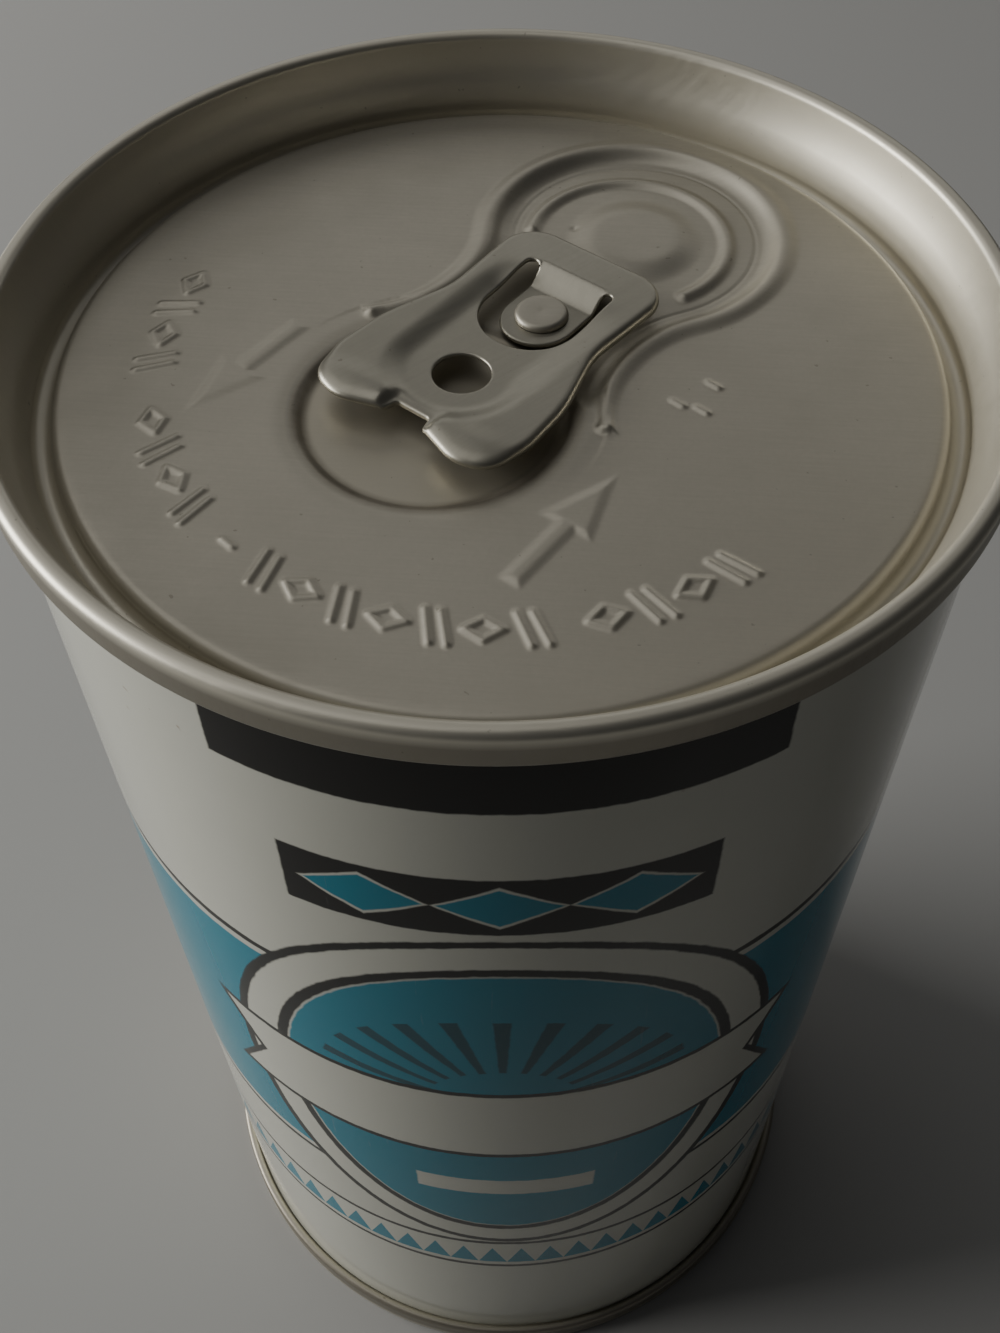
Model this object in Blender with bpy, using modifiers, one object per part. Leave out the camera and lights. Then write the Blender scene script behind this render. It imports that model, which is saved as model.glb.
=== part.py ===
"""Shut steel drinks can with a stay-on pull tab.

Four pieces: the painted tube with its contents, the pressed top end with the rivet,
the pull tab on that rivet, and the bottom end. Metres, +Z up, origin at the bottom centre.
"""
import math

import bmesh
import bpy
from mathutils import Matrix, Vector

MM = 0.001
GAP = 0.3 * MM                      # clearance between pieces that touch

# The can as a whole.
CAN_HEIGHT = 122.2 * MM
SEAM_RADIUS = 34.1 * MM             # outside of both double seams
SEAM_HEIGHT = 3.0 * MM
SEAM_THICKNESS = 1.3 * MM
SEAM_FLAT = 0.3 * MM                # flat ring on the crest, which the can stands on
CHUCK_LEAN = 0.7 * MM               # taper of the chuck wall over the seam's height
BODY_RADIUS = 33.0 * MM
WALL_THICKNESS = 0.3 * MM
SEGMENTS = 72                       # facets round every turned piece

# The end panels, measured down from the rim (or up from the foot).
PANEL_DEPTH = 4.8 * MM
GROOVE_DEPTH = 6.35 * MM
END_DEPTH = 7.3 * MM
PANEL_RADIUS = 29.5 * MM
PANEL_CORNER = 0.5 * MM
GROOVE_RADIUS = 0.7 * MM
GROOVE_CENTRE_RADIUS = 30.55 * MM
PANEL_Z = CAN_HEIGHT - PANEL_DEPTH

# The pressed figure on the top panel lies along one axis through the lid.
AXIS_ANGLE = math.radians(52.2)
AXIS_OFFSET = 0.5 * MM
POUR_CENTRE = 17.0 * MM             # along the axis, towards the pouring side
POUR_RADIUS = 9.75 * MM
BEAD_OUTSET = 1.0 * MM              # bead crest outside the recess edge
BEAD_RADIUS = 0.75 * MM
BEAD_HEIGHT = 0.25 * MM
RECESS_DEPTH = 0.5 * MM
NECK_CENTRE = 5.6 * MM              # along the axis, where the recess is narrowest
NECK_HALF_WIDTH = 6.35 * MM
NECK_END = 0.5 * MM
BEAD_END = -1.1 * MM
WELL_CENTRE = -6.2 * MM
WELL_RADIUS = 9.2 * MM
WELL_DEPTH = 0.7 * MM
WELL_SLOPE = 0.7 * MM
RING_CENTRE = 16.4 * MM
RING_RADIUS = 7.2 * MM
RING_SWEEP = math.radians(113.0)
RING_HEIGHT = 0.3 * MM
DOME_RADIUS = 4.2 * MM
DOME_HEIGHT = 0.4 * MM
DOME_SINK = 0.05 * MM               # the dome's edge dips under the recess floor

# The bottom panel steps inwards twice.
INNER_STEP = 14.0 * MM
OUTER_STEP = 22.0 * MM
STEP_WIDTH = 1.0 * MM
STEP_RISE = 0.4 * MM

# The raised arrows beside the tab: tail of each shaft and tip of each head on the panel.
ARROWS = (((0.5 * MM, -19.4 * MM), (6.6 * MM, -11.7 * MM)),
          ((-13.8 * MM, 4.1 * MM), (-20.0 * MM, -3.5 * MM)))
ARROW_HEAD_LENGTH = 4.2 * MM
ARROW_HEAD_WIDTH = 3.0 * MM
ARROW_SHAFT_WIDTH = 1.0 * MM
ARROW_HEIGHT = 0.2 * MM

# The rivet, pressed from the panel itself.
RIVET_ALONG = 5.3 * MM
RIVET_STEM_RADIUS = 1.2 * MM
RIVET_HEAD_RADIUS = 1.9 * MM
RIVET_HEAD_THICKNESS = 0.4 * MM
RIVET_CORNER = 0.15 * MM

# The pull tab, in its own frame: x along the axis, z from its lowest curled edge.
SHEET = 0.35 * MM
TAB_NOSE = 12.2 * MM
# Corners of one side of its outline, from the nose to the notch: along, across, radius.
TAB_SIDE = ((TAB_NOSE, 6.6 * MM, 2.8 * MM),
            (3.2 * MM, 6.15 * MM, 7.0 * MM),        # waist
            (-2.2 * MM, 7.8 * MM, 12.0 * MM),       # shoulder
            (-6.2 * MM, 8.1 * MM, 5.0 * MM),        # widest, beside the finger hole
            (-9.55 * MM, 7.45 * MM, 2.2 * MM),      # tail corner
            (-10.35 * MM, 4.9 * MM, 3.2 * MM),      # end of the lobe
            (-9.2 * MM, 1.6 * MM, 0.4 * MM),        # mouth of the notch
            (-8.2 * MM, 1.4 * MM, 0.3 * MM))        # foot of the notch
TAB_THICKNESS = 1.0 * MM
TAB_EDGE = 0.35 * MM
TAB_CLEARANCE = 0.35 * MM           # curled edge above the unpressed panel
TAB_TILT = math.radians(2.2)        # the tail stands a little high
TAB_HINGE = 8.4 * MM
TAB_TURN = math.radians(-1.2)       # the tab sits a touch askew on its rivet
TONGUE_CLEARANCE = 0.35 * MM        # tongue above the recess floor
WEB_HALF_WIDTH = 4.5 * MM
WEB_TAIL_CENTRE = -3.1 * MM         # centre of the web's round tail end
WEB_DROP = 0.4 * MM
HOLE_ALONG = -3.45 * MM
HOLE_RADIUS = 1.95 * MM
WEB_NOSE = 9.5 * MM
SLOT_CENTRE = 4.2 * MM               # centre of the slot's round end
SLOT_RADIUS = 3.65 * MM
TONGUE_CENTRE = 4.95 * MM            # centre of the tongue's round end
TONGUE_RADIUS = 2.7 * MM
TONGUE_HOLE_RADIUS = 1.55 * MM
SLOT_LEG_END = 8.85 * MM
STRIP_START = 7.1 * MM              # where the tongue begins to climb to the web

ARC_STEP = math.radians(15.0)       # longest facet on a rounded corner
CREASE_ANGLE = math.radians(30.0)


def clear_scene():
    for item in list(bpy.data.objects):
        bpy.data.objects.remove(item, do_unlink=True)


def new_collection(name):
    collection = bpy.data.collections.new(name)
    bpy.context.scene.collection.children.link(collection)
    return collection


def metal_or_paint(name, colour, roughness, metallic):
    material = bpy.data.materials.new(name)
    material.use_nodes = True
    shader = material.node_tree.nodes["Principled BSDF"]
    shader.inputs["Base Color"].default_value = (*colour, 1.0)
    shader.inputs["Roughness"].default_value = roughness
    shader.inputs["Metallic"].default_value = metallic
    return material


def add_mesh_object(name, mesh, collection):
    item = bpy.data.objects.new(name, mesh)
    collection.objects.link(item)
    return item


def mark_as_tool(item):
    """Cutters and shapes to be fused are guides, not pieces of the can."""
    item.hide_render = True
    item.display_type = "WIRE"


def finish(item):
    """Settle a piece's modifiers into its mesh, round it off and keep its creases sharp."""
    depsgraph = bpy.context.evaluated_depsgraph_get()
    mesh = bpy.data.meshes.new_from_object(item.evaluated_get(depsgraph))
    item.modifiers.clear()
    item.data = mesh
    mesh.name = item.name
    mesh.shade_smooth()
    mesh.set_sharp_from_angle(angle=CREASE_ANGLE)


def arc(centre, radius, start, end, steps):
    """Points on an arc about (x, y), from one angle to another, both ends included."""
    angles = (start + (end - start) * step / steps for step in range(steps + 1))
    return [(centre[0] + radius * math.cos(a), centre[1] + radius * math.sin(a)) for a in angles]


def quarter(centre, radius, start_deg, end_deg, steps=3):
    return arc(centre, radius, math.radians(start_deg), math.radians(end_deg), steps)


def fillet(corners):
    """Closed outline through corners (x, y, radius), each one rounded by an arc."""
    points = []
    for index, (x, y, radius) in enumerate(corners):
        corner = Vector((x, y))
        before = (Vector(corners[index - 1][:2]) - corner).normalized()
        after = (Vector(corners[(index + 1) % len(corners)][:2]) - corner).normalized()
        half = before.angle(after) / 2
        centre = corner + (before + after).normalized() * (radius / math.sin(half))
        first = corner + before * (radius / math.tan(half)) - centre
        last = corner + after * (radius / math.tan(half)) - centre
        start = math.atan2(first.y, first.x)
        sweep = math.atan2(first.cross(last), first.dot(last))
        steps = max(1, math.ceil(abs(sweep) / ARC_STEP))
        points += arc(centre, radius, start, start + sweep, steps)
    return points


def turned(name, profile, collection):
    """Solid of revolution: the profile runs from the axis, down the outside, to the axis."""
    mesh = bpy.data.meshes.new(name)
    vertices = [(radius, 0.0, height) for radius, height in profile]
    edges = [(index, index + 1) for index in range(len(profile) - 1)]
    mesh.from_pydata(vertices, edges, [])
    item = add_mesh_object(name, mesh, collection)
    screw = item.modifiers.new("Turn", "SCREW")
    screw.steps = SEGMENTS
    screw.render_steps = SEGMENTS
    screw.use_merge_vertices = True
    screw.merge_threshold = 0.00001
    screw.use_smooth_shade = True
    return item


def curve_to_mesh(item, collection):
    """Replace a curve by its closed mesh, with the caps welded on."""
    depsgraph = bpy.context.evaluated_depsgraph_get()
    mesh = bpy.data.meshes.new_from_object(item.evaluated_get(depsgraph))
    body = bmesh.new()
    body.from_mesh(mesh)
    bmesh.ops.remove_doubles(body, verts=body.verts, dist=0.000005)
    bmesh.ops.recalc_face_normals(body, faces=body.faces)
    body.to_mesh(mesh)
    body.free()
    name = item.name
    place = item.matrix_world.copy()
    bpy.data.objects.remove(item, do_unlink=True)
    solid = add_mesh_object(name, mesh, collection)
    solid.matrix_world = place
    return solid


def poly_curve(name, points, cyclic, collection):
    curve = bpy.data.curves.new(name, "CURVE")
    spline = curve.splines.new("POLY")
    spline.points.add(len(points) - 1)
    for point, place in zip(spline.points, points):
        point.co = (*place, 1.0)
    spline.use_cyclic_u = cyclic
    return add_mesh_object(name, curve, collection)


def plate(name, outline, low, high, collection, edge=0.0):
    """Flat solid between two heights, its rim rounded by the edge radius."""
    item = poly_curve(name, [(x, y, 0.0) for x, y in outline], True, collection)
    item.data.dimensions = "2D"
    item.data.fill_mode = "BOTH"
    item.data.extrude = (high - low) / 2 - edge
    item.data.bevel_depth = edge
    item.data.bevel_resolution = 1
    item.data.offset = -edge
    item.location.z = (low + high) / 2
    bpy.context.view_layer.update()
    return curve_to_mesh(item, collection)


def bead(name, path, height, radius, collection):
    """Round bead that stands up by its height from the surface it is pressed in."""
    item = poly_curve(name, [(x, y, height - radius) for x, y in path], False, collection)
    item.data.dimensions = "3D"
    item.data.bevel_depth = radius
    item.data.bevel_resolution = 2
    item.data.use_fill_caps = True
    bpy.context.view_layer.update()
    return curve_to_mesh(item, collection)


def boolean(item, operation, operand):
    modifier = item.modifiers.new(operation.title(), "BOOLEAN")
    modifier.operation = operation
    modifier.solver = "EXACT"
    if isinstance(operand, bpy.types.Collection):
        modifier.operand_type = "COLLECTION"
        modifier.collection = operand
    else:
        modifier.object = operand


def lay_on_axis(item, height=0.0):
    """Turn a shape drawn along +X onto the lid's axis, and lift it."""
    side = Vector((-math.sin(AXIS_ANGLE), math.cos(AXIS_ANGLE), 0.0)) * AXIS_OFFSET
    turn = Matrix.Rotation(AXIS_ANGLE, 4, "Z")
    lift = Matrix.Translation(side + Vector((0.0, 0.0, height)))
    item.matrix_world = lift @ turn @ item.matrix_world


def well_profile():
    """Sunk part of an end, from the panel's edge to the chuck wall, as (radius, depth)."""
    corner = (PANEL_RADIUS, PANEL_DEPTH + PANEL_CORNER)
    groove = (GROOVE_CENTRE_RADIUS, GROOVE_DEPTH - GROOVE_RADIUS)
    chuck_top = (SEAM_RADIUS - SEAM_THICKNESS - CHUCK_LEAN, SEAM_HEIGHT)
    points = quarter(corner, PANEL_CORNER, -90, 0)
    points += quarter(groove, GROOVE_RADIUS, 180, -15, steps=5)
    return points + [chuck_top]


def seam_profile():
    """Double seam over its crest, from the chuck wall to its outer foot, as (radius, depth)."""
    corner = (SEAM_THICKNESS - SEAM_FLAT) / 2
    inner = SEAM_RADIUS - SEAM_THICKNESS + corner
    outer = SEAM_RADIUS - corner
    points = quarter((inner, corner), corner, 180, 270)
    points += quarter((outer, corner), corner, -90, 0)
    points += quarter((outer, SEAM_HEIGHT - corner), corner, 0, 90)
    return points


def neck_circle():
    """Centre offset and radius of the arcs that waist the recess, tangent to the pour circle."""
    reach = POUR_CENTRE - NECK_CENTRE
    radius = (reach ** 2 + NECK_HALF_WIDTH ** 2 - POUR_RADIUS ** 2) \
        / (2 * (POUR_RADIUS - NECK_HALF_WIDTH))
    return NECK_HALF_WIDTH + radius, radius


def recess_side(outset, end, steps):
    """One side of the recess, from the far end of the pour circle to the tail end of the neck."""
    offset, radius = neck_circle()
    radius -= outset
    tangent = math.atan2(offset, NECK_CENTRE - POUR_CENTRE)
    around = arc((POUR_CENTRE, 0.0), POUR_RADIUS + outset, 0.0, tangent, steps)
    last = -math.pi / 2 - math.asin((NECK_CENTRE - end) / radius)
    waist = arc((NECK_CENTRE, offset), radius, tangent - math.pi, last, steps // 2)
    return around + waist[1:]


def mirrored(side):
    """Both sides of a figure that is alike across the axis, as one run of points."""
    other = [(x, -y) for x, y in reversed(side)]
    return other + side[1:]


def recess_cutter(collection):
    outline = mirrored(recess_side(0.0, NECK_END, 24))
    cutter = plate("recess_cutter", outline, -RECESS_DEPTH, PANEL_DEPTH, collection)
    lay_on_axis(cutter, PANEL_Z)
    mark_as_tool(cutter)
    return cutter


def well_cutter(collection):
    profile = [(0.0, PANEL_DEPTH), (WELL_RADIUS, PANEL_DEPTH), (WELL_RADIUS, 0.0),
               (WELL_RADIUS - WELL_SLOPE, -WELL_DEPTH), (0.0, -WELL_DEPTH)]
    cutter = turned("finger_well_cutter", profile, collection)
    cutter.matrix_world = Matrix.Translation((WELL_CENTRE, 0.0, 0.0))
    lay_on_axis(cutter, PANEL_Z)
    mark_as_tool(cutter)
    return cutter


def arrow_outline(tail, tip):
    """Solid arrow from tail to tip."""
    tail, tip = Vector(tail), Vector(tip)
    along = (tip - tail).normalized()
    across = Vector((-along.y, along.x))
    neck = tip - along * ARROW_HEAD_LENGTH
    half_shaft = across * ARROW_SHAFT_WIDTH / 2
    half_head = across * ARROW_HEAD_WIDTH / 2
    return [tail - half_shaft, neck - half_shaft, neck - half_head, tip,
            neck + half_head, neck + half_shaft, tail + half_shaft]


def raised_figures(collection):
    """Everything that stands up from the top panel."""
    crest = mirrored(recess_side(BEAD_OUTSET, BEAD_END, 24))
    lay_on_axis(bead("flank_bead", crest, BEAD_HEIGHT, BEAD_RADIUS, collection), PANEL_Z)
    ring = arc((RING_CENTRE, 0.0), RING_RADIUS, -RING_SWEEP, RING_SWEEP, 28)
    floor = PANEL_Z - RECESS_DEPTH
    lay_on_axis(bead("tear_ring", ring, RING_HEIGHT, BEAD_RADIUS, collection), floor)

    rise = DOME_HEIGHT + DOME_SINK
    bulge = (DOME_RADIUS ** 2 + rise ** 2) / (2 * rise)
    edge = math.acos(DOME_RADIUS / bulge)
    cap = arc((0.0, DOME_HEIGHT - bulge), bulge, math.pi / 2, edge, 3)
    dome = turned("pour_dome", cap + [(DOME_RADIUS, -SHEET), (0.0, -SHEET)], collection)
    dome.matrix_world = Matrix.Translation((RING_CENTRE, 0.0, 0.0))
    lay_on_axis(dome, floor)

    base = PANEL_Z - RECESS_DEPTH
    top = rivet_head_z() + RIVET_HEAD_THICKNESS - base
    under = rivet_head_z() - base
    profile = [(0.0, top), (RIVET_HEAD_RADIUS - RIVET_CORNER, top),
               (RIVET_HEAD_RADIUS, top - RIVET_CORNER), (RIVET_HEAD_RADIUS, under),
               (RIVET_STEM_RADIUS, under), (RIVET_STEM_RADIUS, -SHEET), (0.0, -SHEET)]
    rivet = turned("rivet", profile, collection)
    rivet.matrix_world = Matrix.Translation((RIVET_ALONG, 0.0, 0.0))
    lay_on_axis(rivet, base)

    for number, (tail, tip) in enumerate(ARROWS, start=1):
        arrow = arrow_outline(tail, tip)
        plate(f"arrow_{number}", arrow, PANEL_Z - SHEET, PANEL_Z + ARROW_HEIGHT, collection)
    for item in collection.objects:
        mark_as_tool(item)


def make_top_end(parts, tools):
    """Pressed lid: seam, chuck wall, groove and figured panel over a plain flat underside."""
    rim = [(radius, CAN_HEIGHT - depth) for radius, depth in well_profile() + seam_profile()]
    plug = BODY_RADIUS - WALL_THICKNESS - GAP
    under = CAN_HEIGHT - END_DEPTH
    seam_foot = CAN_HEIGHT - SEAM_HEIGHT
    profile = [(0.0, PANEL_Z)] + rim + [(plug, seam_foot), (plug, under), (0.0, under)]
    lid = turned("top_end", profile, parts)
    boolean(lid, "DIFFERENCE", recess_cutter(tools))
    boolean(lid, "DIFFERENCE", well_cutter(tools))
    figures = new_collection("raised_figures")
    raised_figures(figures)
    boolean(lid, "UNION", figures)
    lid.data.materials.append(metal_or_paint("end_metal", (0.42, 0.40, 0.34), 0.38, 1.0))
    return lid


def make_can_body(parts):
    """Painted tube, solid with its contents, recessed at both ends for the ends' panels."""
    inside = BODY_RADIUS - WALL_THICKNESS
    seam_foot = CAN_HEIGHT - SEAM_HEIGHT
    profile = [(0.0, CAN_HEIGHT - END_DEPTH - GAP), (inside, CAN_HEIGHT - END_DEPTH - GAP),
               (inside, seam_foot - GAP), (BODY_RADIUS, seam_foot - GAP),
               (BODY_RADIUS, SEAM_HEIGHT + GAP), (inside, SEAM_HEIGHT + GAP),
               (inside, END_DEPTH + GAP), (0.0, END_DEPTH + GAP)]
    tube = turned("can_body", profile, parts)
    tube.data.materials.append(metal_or_paint("printed_coat", (0.50, 0.50, 0.46), 0.22, 0.0))
    return tube


def make_bottom_end(parts):
    """Plain lower end: the same seam and groove, with two shallow expansion steps."""
    plug = BODY_RADIUS - WALL_THICKNESS - GAP
    rim = well_profile() + seam_profile()
    centre_depth = PANEL_DEPTH + 2 * STEP_RISE
    panel = [(0.0, centre_depth), (INNER_STEP, centre_depth),
             (INNER_STEP + STEP_WIDTH, PANEL_DEPTH + STEP_RISE),
             (OUTER_STEP, PANEL_DEPTH + STEP_RISE), (OUTER_STEP + STEP_WIDTH, PANEL_DEPTH)]
    profile = [(0.0, END_DEPTH), (plug, END_DEPTH), (plug, SEAM_HEIGHT)]
    profile += list(reversed(panel + rim))
    end = turned("bottom_end", profile, parts)
    end.data.materials.append(metal_or_paint("end_metal_under", (0.36, 0.35, 0.32), 0.4, 1.0))
    return end


def tab_outline():
    """Rim of the tab: rounded nose, waist, and two tail lobes beside a notch."""
    other = [(x, -y, radius) for x, y, radius in reversed(TAB_SIDE)]
    return fillet(list(TAB_SIDE) + other)


def arch(first, last, radius):
    """Outline with a round tail about its first point and a square nose at its last."""
    tail = arc((first, 0.0), radius, math.pi / 2, 3 * math.pi / 2, 12)
    return tail + [(last, -radius), (last, radius)]


def tongue_side():
    """Side view of the riveted tongue: flat, then climbing to the web of the tab."""
    web = TAB_THICKNESS - WEB_DROP
    low = tongue_z() - tab_z()
    start, end = STRIP_START, SLOT_LEG_END - SHEET
    return [(TONGUE_CENTRE - 2 * TONGUE_RADIUS, low), (start, low),
            (end, web - SHEET), (WEB_NOSE, web - SHEET), (WEB_NOSE, web),
            (end - SHEET, web), (start - SHEET, low + SHEET),
            (TONGUE_CENTRE - 2 * TONGUE_RADIUS, low + SHEET)]


def make_tongue(tools):
    """Sheet tongue under the rivet head, cut by the slot on three sides."""
    width = 2 * TONGUE_RADIUS
    strip = plate("tongue", tongue_side(), -width, width, tools)
    strip.matrix_world = Matrix.Rotation(math.pi / 2, 4, "X")
    outline = arch(TONGUE_CENTRE, TAB_NOSE, TONGUE_RADIUS)
    trim = plate("tongue_trim", outline, -2 * TAB_THICKNESS, 2 * TAB_THICKNESS, tools)
    boolean(strip, "INTERSECT", trim)
    mark_as_tool(trim)
    mark_as_tool(strip)
    return strip


def tongue_z():
    return PANEL_Z - RECESS_DEPTH + TONGUE_CLEARANCE


def rivet_head_z():
    """Underside of the rivet's head, just above the tongue."""
    return tongue_z() + SHEET + GAP


def tab_z():
    return PANEL_Z + TAB_CLEARANCE


def disc(name, along, radius, low, high, collection):
    """Round cutter that stands on the tab's axis."""
    profile = [(0.0, high), (radius, high), (radius, low), (0.0, low)]
    item = turned(name, profile, collection)
    item.location.x = along
    bpy.context.view_layer.update()
    return item


def make_pull_tab(parts, tools):
    """Curled tab with a sunk web, finger hole, and the tongue that the rivet holds."""
    low, high = -TAB_THICKNESS, 2 * TAB_THICKNESS
    web = TAB_THICKNESS - WEB_DROP
    tab = plate("pull_tab", tab_outline(), 0.0, TAB_THICKNESS, parts, edge=TAB_EDGE)
    sunk = arch(WEB_TAIL_CENTRE, STRIP_START, WEB_HALF_WIDTH)
    above = plate("web_cutter", sunk, web, high, tools)
    below = plate("web_hollow", sunk, low, web - SHEET, tools)
    slot_outline = arch(SLOT_CENTRE, SLOT_LEG_END, SLOT_RADIUS)
    slot = plate("slot_cutter", slot_outline, low, high, tools)
    hole = disc("hole_cutter", HOLE_ALONG, HOLE_RADIUS, low, high, tools)
    for cutter in (above, below, slot, hole):
        boolean(tab, "DIFFERENCE", cutter)
        mark_as_tool(cutter)
    boolean(tab, "UNION", make_tongue(tools))
    pierce = disc("rivet_hole_cutter", RIVET_ALONG, TONGUE_HOLE_RADIUS, 2 * low, high, tools)
    boolean(tab, "DIFFERENCE", pierce)
    mark_as_tool(pierce)
    tab.data.materials.append(metal_or_paint("tab_metal", (0.44, 0.42, 0.38), 0.34, 1.0))
    return tab


def place_tab(tab, tools):
    """Lay the tab and its cutters on the lid, its tail lifted and turned a little."""
    hinge = Matrix.Translation((TAB_HINGE, 0.0, 0.0))
    lift = hinge @ Matrix.Rotation(TAB_TILT, 4, "Y") @ hinge.inverted()
    rivet = Matrix.Translation((RIVET_ALONG, 0.0, 0.0))
    turn = rivet @ Matrix.Rotation(TAB_TURN, 4, "Z") @ rivet.inverted()
    riveted = [tools.objects[name] for name in ("tongue", "tongue_trim", "rivet_hole_cutter")]
    tilted = [modifier.object for modifier in tab.modifiers if modifier.object not in riveted]
    for item in [tab] + tilted:
        item.matrix_world = lift @ item.matrix_world
    for item in [tab] + tilted + riveted:
        item.matrix_world = turn @ item.matrix_world
        lay_on_axis(item, tab_z())


def main():
    clear_scene()
    parts = new_collection("steel_can")
    tools = new_collection("cutters")
    make_can_body(parts)
    make_bottom_end(parts)
    make_top_end(parts, tools)
    place_tab(make_pull_tab(parts, tools), tools)
    for piece in parts.objects:
        finish(piece)


main()
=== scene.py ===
import math

import bpy
import numpy as np
from mathutils import Matrix, Vector
from mathutils.geometry import delaunay_2d_cdt


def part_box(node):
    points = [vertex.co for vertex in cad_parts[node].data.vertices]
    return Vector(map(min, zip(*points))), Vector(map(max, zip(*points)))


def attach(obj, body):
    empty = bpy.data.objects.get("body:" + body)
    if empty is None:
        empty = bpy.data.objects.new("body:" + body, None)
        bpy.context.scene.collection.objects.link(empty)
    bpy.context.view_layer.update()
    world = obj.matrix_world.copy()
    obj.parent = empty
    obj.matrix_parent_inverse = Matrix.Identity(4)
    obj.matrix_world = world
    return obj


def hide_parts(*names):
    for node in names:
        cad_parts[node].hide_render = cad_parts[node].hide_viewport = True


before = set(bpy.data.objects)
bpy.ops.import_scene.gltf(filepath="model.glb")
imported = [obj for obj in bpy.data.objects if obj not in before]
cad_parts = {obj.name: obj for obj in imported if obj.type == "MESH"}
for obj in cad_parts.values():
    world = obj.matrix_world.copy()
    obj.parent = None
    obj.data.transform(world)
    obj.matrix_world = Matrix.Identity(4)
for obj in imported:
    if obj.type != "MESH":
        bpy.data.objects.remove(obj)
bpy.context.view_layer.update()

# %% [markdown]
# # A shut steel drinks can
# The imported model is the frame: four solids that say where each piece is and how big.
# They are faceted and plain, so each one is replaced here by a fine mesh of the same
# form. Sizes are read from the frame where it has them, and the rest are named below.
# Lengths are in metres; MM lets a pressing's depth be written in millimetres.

MM = 0.001
NODE_GAP = 0.3 * MM                  # the solids of the frame stand this far apart
CAN_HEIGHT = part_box("top_end")[1].z
SEAM_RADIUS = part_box("top_end")[1].x
BODY_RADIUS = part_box("can_body")[1].x
SEAM_HEIGHT = CAN_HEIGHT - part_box("can_body")[1].z - NODE_GAP
END_DEPTH = CAN_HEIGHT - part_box("top_end")[0].z
print(f"can {CAN_HEIGHT / MM:.1f} mm high, seam radius {SEAM_RADIUS / MM:.1f} mm,",
      f"body radius {BODY_RADIUS / MM:.1f} mm")

# %% [markdown]
# ## Working by hand in code
# Every tool acts on what is selected, so each step first selects one piece, or the
# faces, edges or points of it that lie in a certain place. A ring of edges is then
# pulled along a profile: extrude, scale about the can's axis, move, again and again.
# That is how one would trace a turned shape with the mouse.

# %% Selecting and pulling
DOMAINS = {"VERT": "vertices", "EDGE": "edges", "FACE": "polygons"}


def only(piece):
    """Select one piece and nothing else."""
    bpy.ops.object.select_all(action="DESELECT")
    piece.select_set(True)
    bpy.context.view_layer.objects.active = piece


def named(name):
    """Name the piece that was just added."""
    piece = bpy.context.object
    piece.name = piece.data.name = name
    only(piece)
    return piece


def select(piece, domain, mask):
    """Open a piece for editing with just these points, edges or faces selected."""
    only(piece)
    bpy.ops.object.mode_set(mode="EDIT")
    bpy.ops.mesh.select_mode(type=domain)
    bpy.ops.mesh.select_all(action="DESELECT")
    bpy.ops.object.mode_set(mode="OBJECT")
    getattr(piece.data, DOMAINS[domain]).foreach_set("select", np.asarray(mask, bool))
    bpy.ops.object.mode_set(mode="EDIT")


# %% Reading and placing points
def points_of(piece):
    flat = np.empty(len(piece.data.vertices) * 3)
    piece.data.vertices.foreach_get("co", flat)
    return flat.reshape(-1, 3)


def put_points(piece, points):
    piece.data.vertices.foreach_set("co", points.astype(np.float32).ravel())
    piece.data.update()


def face_centres(piece):
    flat = np.empty(len(piece.data.polygons) * 3)
    piece.data.polygons.foreach_get("center", flat)
    return flat.reshape(-1, 3)


def select_edges(piece, chosen):
    """Open a piece for editing with the edges selected that join chosen points."""
    ends = np.array([tuple(edge.vertices) for edge in piece.data.edges])
    select(piece, "EDGE", chosen[ends].all(axis=1))


# %% Pulling and closing
def pull_rings(profile):
    """Pull the selected ring through (radius, height) pairs; the first is where it is."""
    for (radius, height), (next_radius, next_height) in zip(profile, profile[1:]):
        size = next_radius / radius
        bpy.ops.mesh.extrude_edges_indiv()
        bpy.ops.transform.resize(value=(size, size, 1.0), center_override=(0.0, 0.0, 0.0))
        bpy.ops.transform.translate(value=(0.0, 0.0, next_height - height))


def close_and_smooth(piece):
    """Turn every face outwards and shade the piece as one smooth skin."""
    bpy.ops.mesh.select_all(action="SELECT")
    bpy.ops.mesh.normals_make_consistent(inside=False)
    bpy.ops.object.mode_set(mode="OBJECT")
    bpy.ops.object.shade_smooth()
    print(piece.name, len(piece.data.polygons), "faces")


def arc(centre, radius, start, end, steps):
    """Points on an arc, angles in degrees."""
    angles = np.radians(np.linspace(start, end, steps + 1))
    x, y = centre
    return [(x + radius * math.cos(a), y + radius * math.sin(a)) for a in angles]


# %% [markdown]
# ## The rim of an end
# Both ends carry the same rim. The panel's edge drops into a stiffening groove, the
# chuck wall climbs out of it, and the flange is folded over the body's own flange into
# a double seam, whose outer wall is rolled in at its foot. The profile is written once
# as radius and depth below the crest, and each end pulls its own ring along it.

# %% Profile of the rim
PANEL_DEPTH = 4.8 * MM
PANEL_FLAT = 29.15 * MM             # radius of the flat panel
PANEL_CORNER = 0.75 * MM
GROOVE_DEPTH = 6.35 * MM
GROOVE_CENTRE = 30.6 * MM
GROOVE_RADIUS = 0.7 * MM
SEAM_WALL = 1.3 * MM                # the seam is five sheets thick
CREST = 0.55 * MM
CHUCK_LEAN = 0.7 * MM
FOOT_ROLL = 0.45 * MM


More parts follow.
